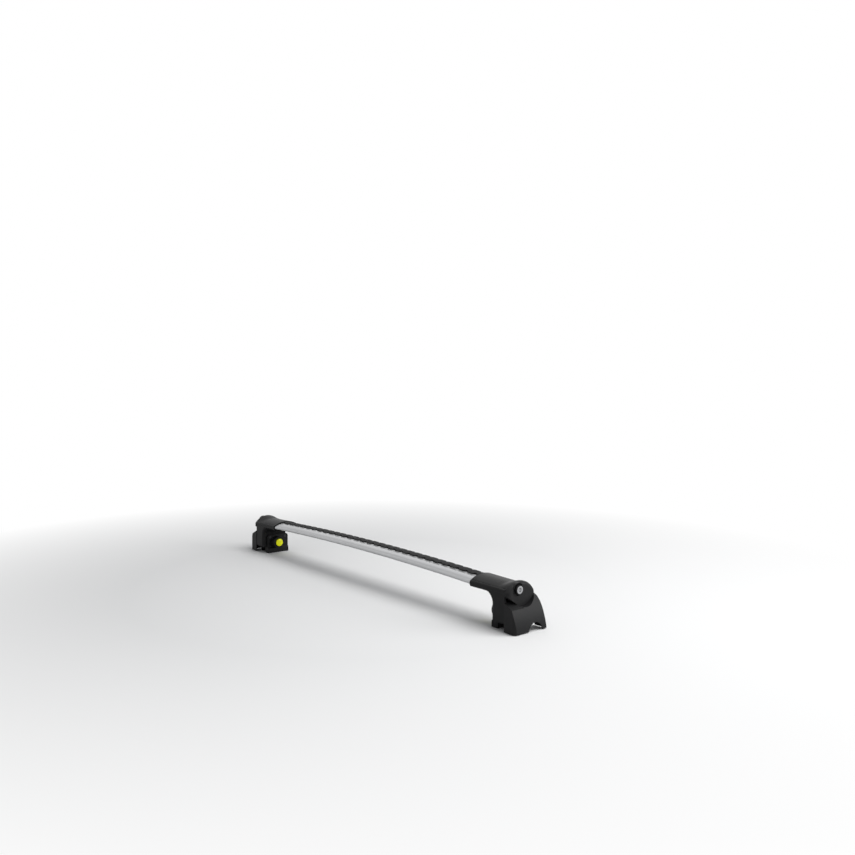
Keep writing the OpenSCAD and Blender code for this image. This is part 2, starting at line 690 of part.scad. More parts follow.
on_right() end_plug();  // right_end_plug
on_right() foot_housing();  // right_foot_housing
on_right() anchor_block();  // right_anchor_block
on_right() anchor_screws();  // right_anchor_screws
on_right() saddle_pad();  // right_saddle_pad
on_right() inner_claw();  // right_inner_claw
on_right() inner_claw_pad();  // right_inner_claw_pad
on_right() inner_claw_screws();  // right_inner_claw_screws
on_right() clamp_nut();  // right_clamp_nut
on_right() bolt_cap();  // right_bolt_cap
on_right() outer_claw();  // right_outer_claw
on_right() outer_claw_pad();  // right_outer_claw_pad
on_right() clamp_washer();  // right_clamp_washer
on_right() clamp_bolt();  // right_clamp_bolt
on_right() lock_catch();  // right_lock_catch
on_right() catch_screws();  // right_catch_screws
on_right() end_cap();  // right_end_cap
on_right() lower_cover();  // right_lower_cover
on_right() cover_screws();  // right_cover_screws
on_right() lock_sleeve();  // right_lock_sleeve
on_right() lock_barrel();  // right_lock_barrel
on_right() lock_cam();  // right_lock_cam
on_right() cam_screw();  // right_cam_screw

on_left() end_plug();  // left_end_plug
on_left() foot_housing();  // left_foot_housing
on_left() anchor_block();  // left_anchor_block
on_left() anchor_screws();  // left_anchor_screws
on_left() saddle_pad();  // left_saddle_pad
on_left() inner_claw();  // left_inner_claw
on_left() inner_claw_pad();  // left_inner_claw_pad
on_left() inner_claw_screws();  // left_inner_claw_screws
on_left() clamp_nut();  // left_clamp_nut
on_left() bolt_cap();  // left_bolt_cap
on_left() outer_claw();  // left_outer_claw
on_left() outer_claw_pad();  // left_outer_claw_pad
on_left() clamp_washer();  // left_clamp_washer
on_left() clamp_bolt();  // left_clamp_bolt
on_left() lock_catch();  // left_lock_catch
on_left() catch_screws();  // left_catch_screws
on_left() end_cap();  // left_end_cap
on_left() lower_cover();  // left_lower_cover
on_left() cover_screws();  // left_cover_screws
on_left() lock_sleeve();  // left_lock_sleeve
on_left() lock_barrel();  // left_lock_barrel
on_left() lock_cam();  // left_lock_cam
on_left() cam_screw();  // left_cam_screw
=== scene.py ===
"""Finishes the roof rack crossbar: rounds its edges, paints every piece and sets the stage.

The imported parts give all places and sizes, in metres. X runs along the bar, Y points to the
front of the vehicle and Z is up.
"""
import math

import bmesh
import bpy
from bpy.props import FloatProperty, FloatVectorProperty, PointerProperty
from mathutils import Matrix, Vector
from mathutils.bvhtree import BVHTree


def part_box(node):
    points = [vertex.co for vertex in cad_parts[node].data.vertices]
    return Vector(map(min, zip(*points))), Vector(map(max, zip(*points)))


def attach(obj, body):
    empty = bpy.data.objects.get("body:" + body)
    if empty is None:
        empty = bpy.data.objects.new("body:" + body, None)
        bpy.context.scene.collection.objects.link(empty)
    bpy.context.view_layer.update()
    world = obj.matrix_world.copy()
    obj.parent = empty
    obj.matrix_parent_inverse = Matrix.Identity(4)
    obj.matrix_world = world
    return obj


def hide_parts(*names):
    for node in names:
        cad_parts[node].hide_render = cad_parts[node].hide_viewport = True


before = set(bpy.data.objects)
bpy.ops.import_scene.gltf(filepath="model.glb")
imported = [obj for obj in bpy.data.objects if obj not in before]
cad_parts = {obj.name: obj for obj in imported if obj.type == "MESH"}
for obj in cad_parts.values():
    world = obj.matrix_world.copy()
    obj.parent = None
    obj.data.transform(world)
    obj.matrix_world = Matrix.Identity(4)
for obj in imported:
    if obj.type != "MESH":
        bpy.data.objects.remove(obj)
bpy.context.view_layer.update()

bl_info = {
    "name": "Roof rack crossbar finish",
    "version": (1, 0, 0),
    "blender": (4, 5, 0),
    "location": "View3D > Sidebar > Crossbar",
    "description": "Rounds, paints and stages the packed parts of a roof rack crossbar",
    "category": "Object",
}

SIDES = ("right", "left")

# Radii of the bow of the bar, and of its top behind and in front of the crest
BOW_RADIUS = 12.2
REAR_TOP_RADIUS = 0.0762
FRONT_TOP_RADIUS = 0.0978
# Distances from the middle of the section within which the bar and the strip stay as packed
BAR_CORE = 0.0125
STRIP_CORE = 0.0072
# Depth of a packed scallop, room beside the strip in its seat, and depth that holds the seat
SCALLOP_DEPTH = 0.0036
SEAT_PLAY = 0.0002
SEAT_REACH = 0.0042
# Height of the part of a sleeve's top that is bent, and cuts that let its shoulder bend
SLEEVE_TOP = 0.014
SHOULDER_CUTS = 10
# Distance from the bar within which a housing's point belongs to the seat of the bar
SEAT_SKIN = 0.0007
# Distance that the shoulder stays below the round of the end cap
CAP_STEP = 0.0009
# Insets and rises that crown a bolt cap
CROWN_STEPS = ((0.0020, 0.0006), (0.0030, 0.0005), (0.0035, 0.0003))
# Fineness of the moulded grain, and width of the painted shade on a sleeve's lip
GRAIN_SCALE = 1500.0
LIP_SHADE_WIDTH = 0.0008
# Pitch of the strip's ribs and of a lock's turned rings, and radius of the joint round its plug
RIB_PITCH = 0.0024
RING_PITCH = 0.00042
PLUG_RADIUS = 0.0042
# Angles between two faces: in one plane, worth a round, and shaded sharp
FLAT_ANGLE = math.radians(0.4)
ROUND_ANGLE = math.radians(28)
SHARP_ANGLE = math.radians(32)


def colour_property(name, description, default):
    """Colour that a user may change."""
    return FloatVectorProperty(name=name, description=description, subtype="COLOR", size=3,
                               min=0, max=1, default=default)


def length_property(name, description, low, high, default):
    """Length that a user may change."""
    return FloatProperty(name=name, description=description, unit="LENGTH", min=low, max=high,
                         default=default)


def angle_property(name, description, degrees):
    """Angle that a user may change."""
    return FloatProperty(name=name, description=description, unit="ROTATION",
                         default=math.radians(degrees))


def power_property(name, description, default):
    """Power of a lamp that a user may change."""
    return FloatProperty(name=name, description=description, unit="POWER", min=0, default=default)


class RACK_PG_finish(bpy.types.PropertyGroup):
    """Colours and edge sizes of the crossbar's finishes."""

    anodised: colour_property("Anodised aluminium", "Colour of the extrusion", (0.41, 0.414, 0.422))
    moulding: colour_property("Black moulding", "Colour of the grained foot mouldings",
                              (0.0105, 0.0105, 0.011))
    cover: colour_property("Cover moulding", "Colour of the end caps and lower covers",
                           (0.0135, 0.0135, 0.014))
    rubber: colour_property("Rubber", "Colour of the strip and the pads", (0.012, 0.012, 0.0125))
    signal: colour_property("Bolt cap", "Colour of the bright cap over the clamp nut",
                            (0.94, 0.97, 0.006))
    plated: colour_property("Plated steel", "Colour of the zinc plated fasteners",
                            (0.52, 0.53, 0.55))
    polished: colour_property("Lock face", "Colour of the polished lock barrel",
                              (0.40, 0.405, 0.415))
    cover_round: length_property("Cover edge", "Round on the edges of caps and covers",
                                 0.0002, 0.003, 0.0012)
    moulding_round: length_property("Moulding edge", "Round on the edges of the foot mouldings",
                                    0.0002, 0.002, 0.0008)
    metal_round: length_property("Metal edge", "Break on the edges of metal pieces",
                                 0.00005, 0.001, 0.0002)
    strip_inset: length_property("Strip inset", "Distance that the strip's edges are drawn in",
                                 0, 0.006, 0.0045)
    scallop_gain: FloatProperty(name="Scallop gain", min=1, max=1.85, default=1.8,
                                description="Growth of the scallops in the strip's edges")
    lip_lift: length_property("Lip lift", "Extra height of the sleeve's lip over the bar",
                              0, 0.004, 0.0018)
    sleeve_drop: length_property("Sleeve drop", "Fall of the sleeve's top at its outer end",
                                 0, 0.005, 0.0025)
    shoulder: length_property("Shoulder", "Length of the sleeve's rise to the end cap",
                              0.002, 0.05, 0.030)
    grain: length_property("Grain", "Height of the moulded grain", 0, 0.0005, 0.00006)


class RACK_PG_stage(bpy.types.PropertyGroup):
    """Camera, lamps and floor."""

    camera_place: FloatVectorProperty(name="Camera", description="Place of the camera", size=3,
                                      subtype="TRANSLATION", unit="LENGTH",
                                      default=(1.9315, -1.4080, 0.5801))
    yaw: angle_property("Yaw", "Turn of the view from the Y axis", 50.23)
    pitch: angle_property("Pitch", "Fall of the view below level", 3.41)
    roll: angle_property("Roll", "Turn of the view about its own axis", 0.39)
    lens: FloatProperty(name="Lens", description="Focal length on a sensor 36 mm wide",
                        min=10, max=200, default=35.99)
    key_power: power_property("Key lamp", "Power of the large lamp overhead", 50)
    fill_power: power_property("Fill lamp", "Power of the lamp beyond the right foot", 34)
    rim_power: power_property("Rim lamp", "Power of the lamp behind the bar", 8)
    sky: FloatProperty(name="Sky", description="Strength of the even light from all around",
                       min=0, max=1, default=0.38)
    floor_colour: colour_property("Floor", "Colour of the floor", (0.80, 0.80, 0.80))


class Tone:
    """A shader socket that takes part in sums: each step adds its own Math node."""

    def __init__(self, paint, socket):
        self.paint = paint
        self.socket = socket

    def step(self, operation, *values):
        return self.paint.node("ShaderNodeMath", {"operation": operation}, dict(enumerate(values)))

    def __add__(self, other):
        return self.step("ADD", self, other)

    def __radd__(self, other):
        return self.step("ADD", other, self)

    def __sub__(self, other):
        return self.step("SUBTRACT", self, other)

    def __rsub__(self, other):
        return self.step("SUBTRACT", other, self)

    def __mul__(self, other):
        return self.step("MULTIPLY", self, other)

    def __rmul__(self, other):
        return self.step("MULTIPLY", other, self)

    def __abs__(self):
        return self.step("ABSOLUTE", self)

    def larger(self, other):
        return self.step("MAXIMUM", self, other)

    def wave(self):
        """Sine that runs from 0 to 1."""
        return self.step("SINE", self) * 0.5 + 0.5


class Paint:
    """One material, or the sky, and its nodes."""

    def __init__(self, name, sky=False):
        self.data = (bpy.data.worlds if sky else bpy.data.materials).new(name)
        self.data.use_nodes = True
        self.tree = self.data.node_tree
        self.tree.nodes.clear()
        kind = "ShaderNodeOutputWorld" if sky else "ShaderNodeOutputMaterial"
        self.out = self.tree.nodes.new(kind)

    def node(self, kind, settings, values, output=0):
        """Adds a node: first its settings, then the values or links of its sockets."""
        made = self.tree.nodes.new(kind)
        for key, value in settings.items():
            setattr(made, key, value)
        for key, value in values.items():
            if isinstance(value, Tone):
                self.tree.links.new(value.socket, made.inputs[key])
            else:
                made.inputs[key].default_value = value
        return Tone(self, made.outputs[output])

    def place(self, scale=(1, 1, 1), centre=(0, 0, 0)):
        """Object coordinates about a centre, stretched by a scale."""
        where = self.node("ShaderNodeTexCoord", {}, {}, "Object")
        moved = self.node("ShaderNodeVectorMath", {"operation": "SUBTRACT"}, {0: where, 1: centre})
        return self.node("ShaderNodeMapping", {"vector_type": "POINT"},
                         {"Vector": moved, "Scale": scale})

    def part(self, where, axis):
        """One coordinate of a place."""
        return self.node("ShaderNodeSeparateXYZ", {}, {"Vector": where}, axis)

    def reach(self, where):
        """Distance of a place from its origin."""
        return self.node("ShaderNodeVectorMath", {"operation": "LENGTH"}, {0: where}, "Value")

    def noise(self, where, scale, detail=3.0):
        return self.node("ShaderNodeTexNoise", {"noise_dimensions": "3D"},
                         {"Vector": where, "Scale": scale, "Detail": detail, "Roughness": 0.55})

    def ramp(self, value, low, high, dark=0.0, light=1.0):
        return self.node("ShaderNodeMapRange", {"clamp": True},
                         {"Value": value, "From Min": low, "From Max": high,
                          "To Min": dark, "To Max": light})

    def blend(self, factor, first, second):
        return self.node("ShaderNodeMix", {"data_type": "RGBA", "blend_type": "MIX"},
                         {0: factor, 6: first, 7: second}, 2)

    def clouded(self, cloud, low, high, colour, dark, light):
        """A colour between two strengths of itself, as a cloud rises from low to high."""
        return self.blend(self.ramp(cloud, low, high), rgba(colour, dark), rgba(colour, light))

    def edge(self, radius):
        """Mask that is 1 on sharp edges and 0 on open faces."""
        softened = self.node("ShaderNodeBevel", {"samples": 4}, {"Radius": radius})
        true = self.node("ShaderNodeNewGeometry", {}, {}, "Normal")
        level = self.node("ShaderNodeVectorMath", {"operation": "DOT_PRODUCT"},
                          {0: softened, 1: true}, "Value")
        return self.ramp(level, 0.99, 0.8)

    def bump(self, height, distance, strength):
        return self.node("ShaderNodeBump", {},
                         {"Height": height, "Distance": distance, "Strength": strength})

    def ray(self, kind):
        """1 for what one kind of ray sees."""
        return self.node("ShaderNodeLightPath", {}, {}, f"Is {kind} Ray")

    def cover(self, shader):
        """Closes the material or the sky with a shader."""
        self.tree.links.new(shader.socket, self.out.inputs["Surface"])
        return self.data

    def finish(self, **values):
        """Closes the material with a Principled shader; names are its sockets with underscores."""
        named = {key.replace("_", " "): value for key, value in values.items()}
        shader = self.node("ShaderNodeBsdfPrincipled", {"distribution": "MULTI_GGX"}, named)
        return self.cover(shader)


def rgba(colour, scale=1.0):
    return tuple(min(part * scale, 1.0) for part in colour) + (1.0,)


def anodised_paint(colour):
    """Satin anodised extrusion: fine die lines along the bar, faint cloudiness, brighter edges."""
    paint = Paint("anodised_aluminium")
    lines = paint.noise(paint.place((3, 900, 900)), 1.0, 2.0)
    cloud = paint.noise(paint.place((4, 12, 12)), 2.0)
    speck = paint.noise(paint.place(), 2600.0, 1.0)
    tint = paint.clouded(cloud, 0.3, 0.7, colour, 0.955, 1.03)
    tint = paint.blend(paint.edge(0.0004) * 0.35, tint, rgba(colour, 1.25))
    return paint.finish(Base_Color=tint, Metallic=1.0, Roughness=0.30 + 0.10 * cloud + 0.05 * lines,
                        Normal=paint.bump(lines * 0.7 + speck * 0.3, 0.000012, 0.8))


def moulded_paint(name, colour, roughness, grain, lip=None):
    """Grained black moulding: spark eroded texture, faint flow marks and rubbed edges.

    Nearer to the middle of the rack than lip, a sleeve's rim is dulled and darkened with painted
    shade.
    """
    paint = Paint(name)
    where = paint.place()
    pits = paint.node("ShaderNodeTexVoronoi", {"feature": "SMOOTH_F1", "voronoi_dimensions": "3D"},
                      {"Vector": where, "Scale": GRAIN_SCALE, "Smoothness": 0.6}, "Distance")
    fine = paint.noise(where, GRAIN_SCALE * 1.7, 2.0)
    flow = paint.noise(paint.place((14, 14, 26)), 1.3)
    rub = paint.edge(0.0007)
    tint = paint.clouded(flow, 0.25, 0.75, colour, 0.90, 1.12)
    tint = paint.blend(rub * (0.35 + 0.3 * fine), tint, rgba(colour, 2.6))
    rough = roughness + 0.08 * flow - 0.06 * rub
    if lip:
        # Painted shade: the rim of the sleeve's lip is darkened where it meets the bar, and made
        # dull
        lip_shade = paint.ramp(abs(paint.part(where, "X")), lip, lip + LIP_SHADE_WIDTH, 1.0, 0.0)
        tint = paint.blend(lip_shade, tint, rgba(colour, 0.15))
        rough = rough + 0.5 * lip_shade
    return paint.finish(Base_Color=tint, Roughness=rough, Specular_IOR_Level=0.11,
                        Normal=paint.bump(pits * 0.7 + fine * 0.3, grain, 0.55))


def strip_paint(colour):
    """Rubber strip: fine ribs along the bar, a dull bloom and a little dust in the grooves."""
    paint = Paint("strip_rubber")
    ribs = (paint.part(paint.place(), "Y") * (2 * math.pi / RIB_PITCH)).wave()
    fine = paint.noise(paint.place(), 1800.0, 2.0)
    bloom = paint.noise(paint.place((8, 40, 40)), 1.5, 4.0)
    dust = (1 - ribs) * paint.ramp(bloom, 0.45, 0.75)
    tint = paint.clouded(bloom, 0.3, 0.75, colour, 0.85, 1.35)
    tint = paint.blend(dust * 0.18, tint, (0.07, 0.069, 0.065, 1))
    return paint.finish(Base_Color=tint, Roughness=0.66 + 0.18 * fine, Specular_IOR_Level=0.12,
                        Normal=paint.bump(ribs * 0.8 + fine * 0.2, 0.00022, 0.7))


def pad_paint(colour):
    """Soft rubber of the pads: matt, with a pressed grain."""
    paint = Paint("pad_rubber")
    fine = paint.noise(paint.place(), 1400.0)
    tint = paint.clouded(paint.noise(paint.place(), 60.0), 0.3, 0.7, colour, 0.75, 1.2)
    return paint.finish(Base_Color=tint, Roughness=0.72 + 0.14 * fine, Specular_IOR_Level=0.15,
                        Normal=paint.bump(fine, 0.00008, 0.6))


def signal_paint(colour):
    """Bright cap: smooth gloss plastic with slight sink and fine scuffs."""
    paint = Paint("signal_plastic")
    sink = paint.noise(paint.place(), 90.0, 2.0)
    scuff = paint.noise(paint.place((1, 9, 1)), 420.0, 4.0)
    tint = paint.clouded(sink, 0.35, 0.7, colour, 0.94, 1.05)
    return paint.finish(Base_Color=tint, Roughness=0.26 + 0.16 * paint.ramp(scuff, 0.5, 0.8),
                        Specular_IOR_Level=0.25,
                        Normal=paint.bump(sink + scuff * 0.2, 0.00008, 0.4))


def plated_paint(colour):
    """Zinc plate: slightly mottled crystal bloom and bright worn edges."""
    paint = Paint("zinc_plate")
    crystal = paint.node("ShaderNodeTexVoronoi", {"feature": "F1", "voronoi_dimensions": "3D"},
                         {"Vector": paint.place(), "Scale": 520.0}, "Distance")
    cloud = paint.noise(paint.place(), 140.0, 4.0)
    tint = paint.clouded(cloud, 0.3, 0.7, colour, 0.86, 1.08)
    tint = paint.blend(paint.edge(0.0003) * 0.5, tint, rgba(colour, 1.4))
    return paint.finish(Base_Color=tint, Metallic=1.0,
                        Roughness=0.28 + 0.16 * cloud + 0.05 * crystal,
                        Normal=paint.bump(crystal, 0.00002, 0.5))


def blackened_paint():
    """Black oxide on small screws: dull, with a trace of metal on the edges."""
    paint = Paint("black_oxide")
    cloud = paint.noise(paint.place(), 160.0, 4.0)
    tint = paint.blend(paint.ramp(cloud, 0.3, 0.7), (0.020, 0.020, 0.022, 1),
                       (0.034, 0.034, 0.036, 1))
    tint = paint.blend(paint.edge(0.0003) * 0.4, tint, (0.16, 0.16, 0.165, 1))
    return paint.finish(Base_Color=tint, Roughness=0.40 + 0.14 * cloud, Specular_IOR_Level=0.2,
                        Normal=paint.bump(cloud, 0.00002, 0.5))


def turned_paint(colour, centre):
    """Lock face turned about an X axis: fine rings, and a dark joint between plug and shell."""
    paint = Paint("lock_polish")
    reach = paint.reach(paint.place((0, 1, 1), centre))
    wander = paint.noise(paint.place((1, 1, 1), centre), 700.0, 2.0)
    rings = (reach * (2 * math.pi / RING_PITCH) + wander * 2.5).wave()
    haze = paint.noise(paint.place(), 240.0)
    joint = paint.ramp(abs(reach - PLUG_RADIUS), 0.0004, 0.0007, 1.0, 0.0)
    tint = paint.clouded(haze, 0.35, 0.7, colour, 0.94, 1.04)
    tint = paint.blend(joint * 0.85, tint, (0.01, 0.01, 0.01, 1))
    return paint.finish(Base_Color=tint, Metallic=1.0, Roughness=0.16 + 0.08 * rings + 0.05 * haze,
                        Normal=paint.bump(rings, 0.000006, 0.6))


def section_top(y):
    """Height of the bar's top against its crest at a distance from the middle of the section."""
    radius = REAR_TOP_RADIUS if y < 0 else FRONT_TOP_RADIUS
    return math.sqrt(radius * radius - y * y) - radius


def draw_in(shape, middle, core, flank, edge, inset, gain=1.0, depth=None):
    """Draws the strip, or the seat for it, in towards the middle of the section.

    What is nearer than core stays, and the edge moves by the inset. From the flank to the edge,
    where the scallops are, distances grow by the gain. With a depth, only what is no deeper below
    the crest and no further out than the flank moves.
    """
    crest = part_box("bar_extrusion")[1].z
    seam = edge - inset - (edge - flank) * gain
    for vert in shape.verts:
        y = vert.co.y - middle
        fall = BOW_RADIUS - math.sqrt(BOW_RADIUS ** 2 - vert.co.x ** 2)
        outside = depth and (abs(y) > flank + SEAT_PLAY or vert.co.z < crest - fall - depth)
        if abs(y) < core or outside:
            continue
        reach = seam + (abs(y) - flank) * gain
        if abs(y) < flank:
            reach = core + (abs(y) - core) * (seam - core) / (flank - core)
        moved = math.copysign(reach, y)
        vert.co.y += moved - y
        vert.co.z += section_top(moved) - section_top(y)


def node_skin(node):
    """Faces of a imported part, for distances and rays."""
    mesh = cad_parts[node].data
    return BVHTree.FromPolygons([v.co for v in mesh.vertices],
                                [tuple(p.vertices) for p in mesh.polygons])


def bow_sleeve(shape, side, lip_lift, end_drop, shoulder):
    """Lets the outside of a sleeve's top follow the bow, then rise to the round of the end cap.

    The seat around the bar stays, apart from its middle, which lies over the strip's seat and
    so further from the bar, and rises with the outside.
    """
    low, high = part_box(f"{side}_foot_housing")
    inner, outer = sorted((abs(low.x), abs(high.x)))
    way = math.copysign(1, high.x)
    for cut in range(SHOULDER_CUTS):
        x = way * (outer - shoulder * (1 - cut / SHOULDER_CUTS))
        bmesh.ops.bisect_plane(shape, geom=shape.verts[:] + shape.edges[:] + shape.faces[:],
                               dist=0.000002, plane_co=(x, 0, 0), plane_no=(1, 0, 0))
    skin, cap = node_skin("bar_extrusion"), node_skin(f"{side}_end_cap")
    # Places along X where the cap's round is felt for and where the bar still has its full section
    cap_back = way * (outer + 0.0015)
    bar_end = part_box("bar_extrusion")[1].x - 0.004
    for vert in shape.verts:
        reach = abs(vert.co.x)
        height = (vert.co.z - high.z) / SLEEVE_TOP + 1
        if reach < inner - 0.0005 or height <= 0:
            continue
        near = Vector((math.copysign(min(reach, bar_end), vert.co.x), vert.co.y, vert.co.z))
        if skin.find_nearest(near)[3] < SEAT_SKIN:
            continue
        along = (reach - inner) / (outer - inner)
        lift = (lip_lift * (1 - along) - end_drop * along) * height * height * (3 - 2 * height)
        rise = min(max((reach - outer + shoulder) / shoulder, 0), 1)
        edge = cap.ray_cast(Vector((cap_back, vert.co.y, 0.2)), Vector((0, 0, -1)))[0]
        if rise and edge:
            blend = rise * rise * (3 - 2 * rise) * min(height * 2, 1)
            lift = lift * (1 - blend) + max(edge.z - CAP_STEP - vert.co.z, lift) * blend
        vert.co.z += lift


def crown_cap(shape, side):
    """Crowns the open face of a bolt cap, which looks to the middle of the rack."""
    merge_flat_faces(shape)
    way = -1 if side == "right" else 1
    face = max((f for f in shape.faces if f.normal.x * way > 0.9), key=lambda f: f.calc_area())
    for width, height in CROWN_STEPS:
        bmesh.ops.inset_region(shape, faces=[face], thickness=width, depth=height,
                               use_even_offset=True)


def merge_flat_faces(shape):
    """Makes one face of the triangles that lie in one plane."""
    bmesh.ops.dissolve_limit(shape, angle_limit=FLAT_ANGLE, verts=shape.verts, edges=shape.edges,
                             use_dissolve_boundaries=False, delimit=set())


def add_object(name, shape, paint):
    """Turns a shape into an object at the origin."""
    mesh = bpy.data.meshes.new(name)
    shape.to_mesh(mesh)
    shape.free()
    mesh.materials.append(paint)
    made = bpy.data.objects.new(name, mesh)
    bpy.context.scene.collection.objects.link(made)
    return made


def moulded_copy(node, body, paint, width, segments=3, reshape=None):
    """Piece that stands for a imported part: its surface merged and its sharp edges rounded."""
    shape = bmesh.new()
    shape.from_mesh(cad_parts[node].data)
    bmesh.ops.remove_doubles(shape, verts=shape.verts, dist=0.000004)
    if reshape:
        reshape(shape)
    merge_flat_faces(shape)
    if width:
        sharp = [edge for edge in shape.edges
                 if len(edge.link_faces) == 2 and edge.calc_face_angle(0) > ROUND_ANGLE]
        bmesh.ops.bevel(shape, geom=sharp, offset=width, offset_type="OFFSET", segments=segments,
                        profile=0.5, affect="EDGES", material=-1, clamp_overlap=True,
                        loop_slide=True)
    piece = add_object(node + "_skin", shape, paint)
    mesh = piece.data
    mesh.polygons.foreach_set("use_smooth", [True] * len(mesh.polygons))
    mesh.set_sharp_from_angle(angle=SHARP_ANGLE)
    piece.modifiers.new("Even shading", "WEIGHTED_NORMAL").keep_sharp = True
    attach(piece, body)
    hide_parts(node)


def repaint(side, names, paint):
    """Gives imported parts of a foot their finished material."""
    for name in names:
        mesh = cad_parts[f"{side}_{name}"].data
        mesh.materials.clear()
        mesh.materials.append(paint)


class RackOperator:
    """What the operators share."""

    bl_options = {"REGISTER", "UNDO"}

    @property
    def settings(self):
        return bpy.context.scene.rack_finish


class RACK_OT_bar(RackOperator, bpy.types.Operator):
    """Finish the extrusion and its rubber strip"""

    bl_idname = "rack.finish_bar"
    bl_label = "Bar and strip"

    def execute(self, context):
        s = self.settings
        low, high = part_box("top_strip")
        middle, half = (low.y + high.y) / 2, (high.y - low.y) / 2
        seat = half + SEAT_PLAY
        moulded_copy("bar_extrusion", "rack", anodised_paint(s.anodised), 0,
                     reshape=lambda shape: draw_in(shape, middle, BAR_CORE, seat, seat,
                                                   s.strip_inset, depth=SEAT_REACH))
        moulded_copy("top_strip", "rack", strip_paint(s.rubber), 0,
                     reshape=lambda shape: draw_in(shape, middle, STRIP_CORE, half - SCALLOP_DEPTH,
                                                   half, s.strip_inset, s.scallop_gain))
        return {"FINISHED"}


class RACK_OT_housings(RackOperator, bpy.types.Operator):
    """Finish the foot housings with their sleeves, necks and legs"""

    bl_idname = "rack.finish_housings"
    bl_label = "Foot housings"

    def execute(self, context):
        s = self.settings
        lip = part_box("right_foot_housing")[0].x + 0.0012
        paint = moulded_paint("housing_moulding", s.moulding, 0.42, s.grain, lip)
        for side in SIDES:
            moulded_copy(f"{side}_foot_housing", "rack", paint, s.moulding_round,
                         reshape=lambda shape: bow_sleeve(shape, side, s.lip_lift, s.sleeve_drop,
                                                          s.shoulder))
            repaint(side, ("end_plug",), paint)
        return {"FINISHED"}


class RACK_OT_end_caps(RackOperator, bpy.types.Operator):
    """Finish the end caps around the locks"""

    bl_idname = "rack.finish_end_caps"
    bl_label = "End caps"

    def execute(self, context):
        s = self.settings
        paint = moulded_paint("cap_moulding", s.cover, 0.38, s.grain * 0.8)
        for side in SIDES:
            moulded_copy(f"{side}_end_cap", f"{side}_cover", paint, s.cover_round)
        return {"FINISHED"}


class RACK_OT_lower_covers(RackOperator, bpy.types.Operator):
    """Finish the bulged lower covers"""

    bl_idname = "rack.finish_lower_covers"
    bl_label = "Lower covers"

    def execute(self, context):
        s = self.settings
        paint = moulded_paint("cover_moulding", s.cover, 0.36, s.grain * 0.7)
        for side in SIDES:
            moulded_copy(f"{side}_lower_cover", f"{side}_cover", paint,
                         s.cover_round)
        return {"FINISHED"}


class RACK_OT_locks(RackOperator, bpy.types.Operator):
    """Finish the lock barrels, their sleeves, cams, catches and screws"""

    bl_idname = "rack.finish_locks"
    bl_label = "Locks"

    def execute(self, context):
        s = self.settings
        plate = plated_paint(s.plated)
        sleeve = moulded_paint("lock_sleeve_moulding", s.moulding, 0.34, s.grain * 0.5)
        low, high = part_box("right_lock_barrel")
        bright = turned_paint(s.polished, (0, (low.y + high.y) / 2, (low.z + high.z) / 2))
        for side in SIDES:
            cover, lock = f"{side}_cover", f"{side}_lock"
            moulded_copy(f"{side}_lock_barrel", lock, bright, s.metal_round, 2)
            moulded_copy(f"{side}_lock_sleeve", cover, sleeve, s.metal_round, 2)
            moulded_copy(f"{side}_lock_cam", lock, plate, s.metal_round, 2)
            repaint(side, ("cam_screw", "lock_catch", "catch_screws", "cover_screws"), plate)
        return {"FINISHED"}


class RACK_OT_claws(RackOperator, bpy.types.Operator):
    """Finish the claws, their rubber pads and the saddle pads"""

    bl_idname = "rack.finish_claws"
    bl_label = "Claws and pads"

    def execute(self, context):
        s = self.settings
        paint = moulded_paint("claw_moulding", s.moulding, 0.46, s.grain * 1.2)
        soft = pad_paint(s.rubber)
        width = s.moulding_round
        for side in SIDES:
            moulded_copy(f"{side}_inner_claw", "rack", paint, width)
            moulded_copy(f"{side}_outer_claw", f"{side}_claw", paint, width)
            moulded_copy(f"{side}_saddle_pad", "rack", soft, width, 2)
            repaint(side, ("inner_claw_pad", "outer_claw_pad"), soft)
        return {"FINISHED"}


class RACK_OT_fasteners(RackOperator, bpy.types.Operator):
    """Finish the clamp bolts, nuts, washers, screws, anchor blocks and bolt caps"""

    bl_idname = "rack.finish_fasteners"
    bl_label = "Bolts and caps"

    def execute(self, context):
        s = self.settings
        plate = plated_paint(s.plated)
        bright = signal_paint(s.signal)
        dark = blackened_paint()
        for side in SIDES:
            moulded_copy(f"{side}_bolt_cap", "rack", bright,
                         s.moulding_round * 1.5, 4, lambda shape: crown_cap(shape, side))
            moulded_copy(f"{side}_clamp_bolt", f"{side}_bolt", plate, s.metal_round, 2)
            moulded_copy(f"{side}_clamp_washer", f"{side}_claw", plate, s.metal_round, 2)
            repaint(side, ("clamp_nut", "anchor_block", "anchor_screws"), plate)
            repaint(side, ("inner_claw_screws",), dark)
        return {"FINISHED"}


